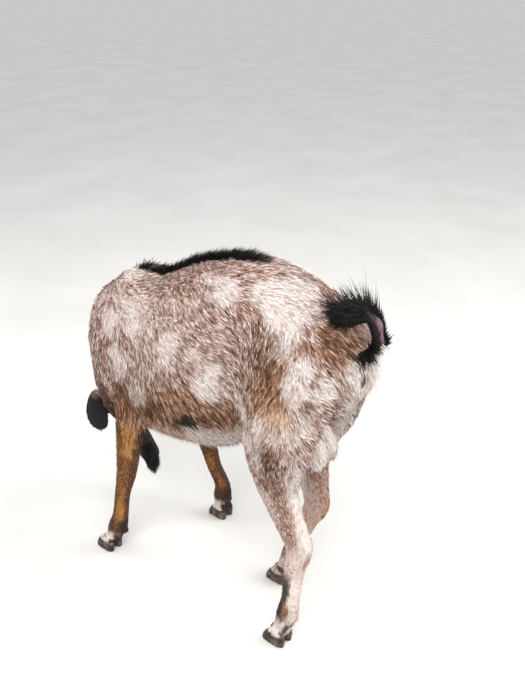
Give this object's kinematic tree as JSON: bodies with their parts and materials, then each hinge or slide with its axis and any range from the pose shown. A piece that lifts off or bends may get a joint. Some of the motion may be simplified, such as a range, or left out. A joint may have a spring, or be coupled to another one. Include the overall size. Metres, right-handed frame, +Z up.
{
  "type": "nubian goat",
  "caption": "Life-size still model of a young buck goat standing with its head down to graze, ears hanging and tail curled up over the rump.",
  "frame": {"origin": "on the floor under the middle of the bounding box", "axes": "+Z up, the goat faces -X and its left side faces -Y"},
  "size_m": [0.7255, 0.2642, 0.6919],
  "materials": {
    "coat": "short roan hair",
    "face": "short brown hair",
    "leg_hair": "short brown hair",
    "pale_skin": "thin short hair over skin",
    "black_hair": "glossy black hair",
    "hoof_horn": "dark horn",
    "eye": "wet gloss"
  },
  "bodies": {
    "root": {"torso": "coat", "neck": "coat", "head": "face", "scrotum": "pale_skin", "tail": "black_hair", "ear_left": "black_hair", "ear_right": "black_hair", "eye_left": "eye", "eye_right": "eye", "leg_fore_left": "leg_hair", "claw_fore_left_a": "hoof_horn", "claw_fore_left_b": "hoof_horn", "leg_fore_right": "leg_hair", "claw_fore_right_a": "hoof_horn", "claw_fore_right_b": "hoof_horn", "leg_hind_left": "leg_hair", "claw_hind_left_a": "hoof_horn", "claw_hind_left_b": "hoof_horn", "leg_hind_right": "leg_hair", "claw_hind_right_a": "hoof_horn", "claw_hind_right_b": "hoof_horn"}
  },
  "joints": []
}
